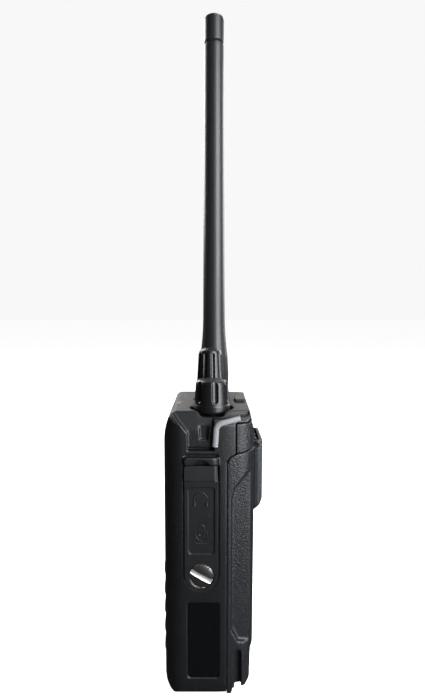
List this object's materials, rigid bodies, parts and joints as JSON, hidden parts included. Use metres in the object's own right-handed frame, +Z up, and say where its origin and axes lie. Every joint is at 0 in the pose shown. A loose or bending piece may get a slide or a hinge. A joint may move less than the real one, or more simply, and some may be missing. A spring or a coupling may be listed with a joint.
{
  "type": "two way radio",
  "caption": "Handheld two way radio with whip antenna, two knobs, keypad, accessory jack cover, belt clip and slide-on battery.",
  "frame": {"origin": "centre of the base, on the surface that the radio stands on", "axes": "+Z up along the antenna, -Y towards the front face, +X towards the accessory jacks"},
  "size_m": [0.0639, 0.0456, 0.314],
  "materials": {
    "moulded_shell": "fine textured",
    "gloss_trim": "smooth",
    "window": "polished",
    "display": "satin",
    "black_rubber": "satin",
    "die_cast": "cast",
    "steel": "nickel plated",
    "board": "satin",
    "inner_plastic": "satin",
    "cell_pack": "film wrapped",
    "contact_gold": "gold plated",
    "light_guide": "clear"
  },
  "bodies": {
    "radio": {"front_housing": "moulded_shell", "chassis_frame": "die_cast", "rear_top_cover": "moulded_shell", "main_seal": "black_rubber", "side_label_plate": "gloss_trim", "display_window": "window", "display_module": "display", "speaker_driver": "steel", "speaker_mesh": "steel", "keypad_membrane": "black_rubber", "main_board": "board", "shield_cans": "die_cast", "microphone": "steel", "volume_control": "die_cast", "channel_encoder": "die_cast", "antenna_socket": "contact_gold", "accessory_jacks": "inner_plastic", "jack_cover_tab": "black_rubber", "radio_contacts": "contact_gold", "chassis_screws": "steel", "status_light_pipe": "light_guide"},
    "volume_dial": {"volume_knob": "gloss_trim", "volume_shaft": "die_cast"},
    "channel_dial": {"channel_knob": "gloss_trim", "channel_shaft": "die_cast"},
    "antenna": {"antenna_sleeve": "black_rubber", "antenna_cap": "black_rubber", "antenna_radiator": "contact_gold", "antenna_plug": "contact_gold"},
    "top_push": {"top_button": "black_rubber"},
    "talk_push": {"ptt_button": "black_rubber"},
    "upper_side_push": {"side_key_upper": "black_rubber"},
    "lower_side_push": {"side_key_lower": "black_rubber"},
    "jack_cover": {"jack_cover_flap": "black_rubber"},
    "screw_turn": {"cover_screw": "steel"},
    "clip": {"belt_clip": "moulded_shell"},
    "battery": {"battery_shell": "moulded_shell", "battery_inner_cover": "inner_plastic", "battery_cells": "cell_pack", "battery_contacts": "contact_gold", "clip_bracket": "moulded_shell", "clip_pin": "steel", "clip_spring": "steel", "clip_screws": "steel"},
    "latch_slide": {"battery_latch": "black_rubber"},
    "push_1": {"key_1": "black_rubber"},
    "push_2": {"key_2": "black_rubber"},
    "push_3": {"key_3": "black_rubber"},
    "push_4": {"key_4": "black_rubber"},
    "push_5": {"key_5": "black_rubber"},
    "push_6": {"key_6": "black_rubber"},
    "push_7": {"key_7": "black_rubber"},
    "push_8": {"key_8": "black_rubber"},
    "push_9": {"key_9": "black_rubber"},
    "push_star": {"key_star": "black_rubber"},
    "push_0": {"key_0": "black_rubber"},
    "push_hash": {"key_hash": "black_rubber"},
    "push_menu": {"key_menu": "black_rubber"},
    "push_up_down": {"key_up_down": "black_rubber"},
    "push_back": {"key_back": "black_rubber"}
  },
  "joints": [
    {"name": "volume_turn", "type": "hinge", "parent": "radio", "child": "volume_dial", "pos_m": [0.017, 0.0012, 0.127], "axis": [0, 0, -1], "range_deg": [0, 270]},
    {"name": "channel_turn", "type": "hinge", "parent": "radio", "child": "channel_dial", "pos_m": [-0.0025, 0.0004, 0.127], "axis": [0, 0, -1], "continuous": true},
    {"name": "antenna_turn", "type": "hinge", "parent": "radio", "child": "antenna", "pos_m": [-0.02, 0.0022, 0.127], "axis": [0, 0, 1], "continuous": true},
    {"name": "top_button_press", "type": "slide", "parent": "radio", "child": "top_push", "axis": [0, 0, -1], "range_m": [0, 0.0008], "stiffness_N_per_m": 1500},
    {"name": "talk_press", "type": "slide", "parent": "radio", "child": "talk_push", "axis": [1, 0, 0], "range_m": [0, 0.001], "stiffness_N_per_m": 2000},
    {"name": "upper_side_press", "type": "slide", "parent": "radio", "child": "upper_side_push", "axis": [1, 0, 0], "range_m": [0, 0.0006], "stiffness_N_per_m": 1500},
    {"name": "lower_side_press", "type": "slide", "parent": "radio", "child": "lower_side_push", "axis": [1, 0, 0], "range_m": [0, 0.0006], "stiffness_N_per_m": 1500},
    {"name": "jack_cover_open", "type": "hinge", "parent": "radio", "child": "jack_cover", "pos_m": [0.0312, -0.00335, 0.0622], "axis": [0, 1, 0], "range_deg": [0, 110]},
    {"name": "cover_screw_turn", "type": "hinge", "parent": "radio", "child": "screw_turn", "pos_m": [0.0312, -0.00335, 0.0557], "axis": [1, 0, 0], "continuous": true},
    {"name": "battery_slide", "type": "slide", "parent": "radio", "child": "battery", "axis": [0, 0, -1], "range_m": [0, 0.11]},
    {"name": "clip_squeeze", "type": "hinge", "parent": "battery", "child": "clip", "pos_m": [0, 0.0219, 0.108], "axis": [1, 0, 0], "range_deg": [0, 14], "stiffness_Nm_per_rad": 0.35},
    {"name": "latch_push", "type": "slide", "parent": "battery", "child": "latch_slide", "axis": [0, 0, 1], "range_m": [0, 0.0024], "stiffness_N_per_m": 900},
    {"name": "key_1_press", "type": "slide", "parent": "radio", "child": "push_1", "axis": [0, 1, 0], "range_m": [0, 0.0005], "stiffness_N_per_m": 1500},
    {"name": "key_2_press", "type": "slide", "parent": "radio", "child": "push_2", "axis": [0, 1, 0], "range_m": [0, 0.0005], "stiffness_N_per_m": 1500},
    {"name": "key_3_press", "type": "slide", "parent": "radio", "child": "push_3", "axis": [0, 1, 0], "range_m": [0, 0.0005], "stiffness_N_per_m": 1500},
    {"name": "key_4_press", "type": "slide", "parent": "radio", "child": "push_4", "axis": [0, 1, 0], "range_m": [0, 0.0005], "stiffness_N_per_m": 1500},
    {"name": "key_5_press", "type": "slide", "parent": "radio", "child": "push_5", "axis": [0, 1, 0], "range_m": [0, 0.0005], "stiffness_N_per_m": 1500},
    {"name": "key_6_press", "type": "slide", "parent": "radio", "child": "push_6", "axis": [0, 1, 0], "range_m": [0, 0.0005], "stiffness_N_per_m": 1500},
    {"name": "key_7_press", "type": "slide", "parent": "radio", "child": "push_7", "axis": [0, 1, 0], "range_m": [0, 0.0005], "stiffness_N_per_m": 1500},
    {"name": "key_8_press", "type": "slide", "parent": "radio", "child": "push_8", "axis": [0, 1, 0], "range_m": [0, 0.0005], "stiffness_N_per_m": 1500},
    {"name": "key_9_press", "type": "slide", "parent": "radio", "child": "push_9", "axis": [0, 1, 0], "range_m": [0, 0.0005], "stiffness_N_per_m": 1500},
    {"name": "key_star_press", "type": "slide", "parent": "radio", "child": "push_star", "axis": [0, 1, 0], "range_m": [0, 0.0005], "stiffness_N_per_m": 1500},
    {"name": "key_0_press", "type": "slide", "parent": "radio", "child": "push_0", "axis": [0, 1, 0], "range_m": [0, 0.0005], "stiffness_N_per_m": 1500},
    {"name": "key_hash_press", "type": "slide", "parent": "radio", "child": "push_hash", "axis": [0, 1, 0], "range_m": [0, 0.0005], "stiffness_N_per_m": 1500},
    {"name": "key_menu_press", "type": "slide", "parent": "radio", "child": "push_menu", "axis": [0, 1, 0], "range_m": [0, 0.0005], "stiffness_N_per_m": 1500},
    {"name": "key_up_down_rock", "type": "hinge", "parent": "radio", "child": "push_up_down", "pos_m": [0, -0.0172, 0.053], "axis": [1, 0, 0], "range_deg": [-2.5, 2.5], "stiffness_Nm_per_rad": 0.05},
    {"name": "key_back_press", "type": "slide", "parent": "radio", "child": "push_back", "axis": [0, 1, 0], "range_m": [0, 0.0005], "stiffness_N_per_m": 1500}
  ]
}
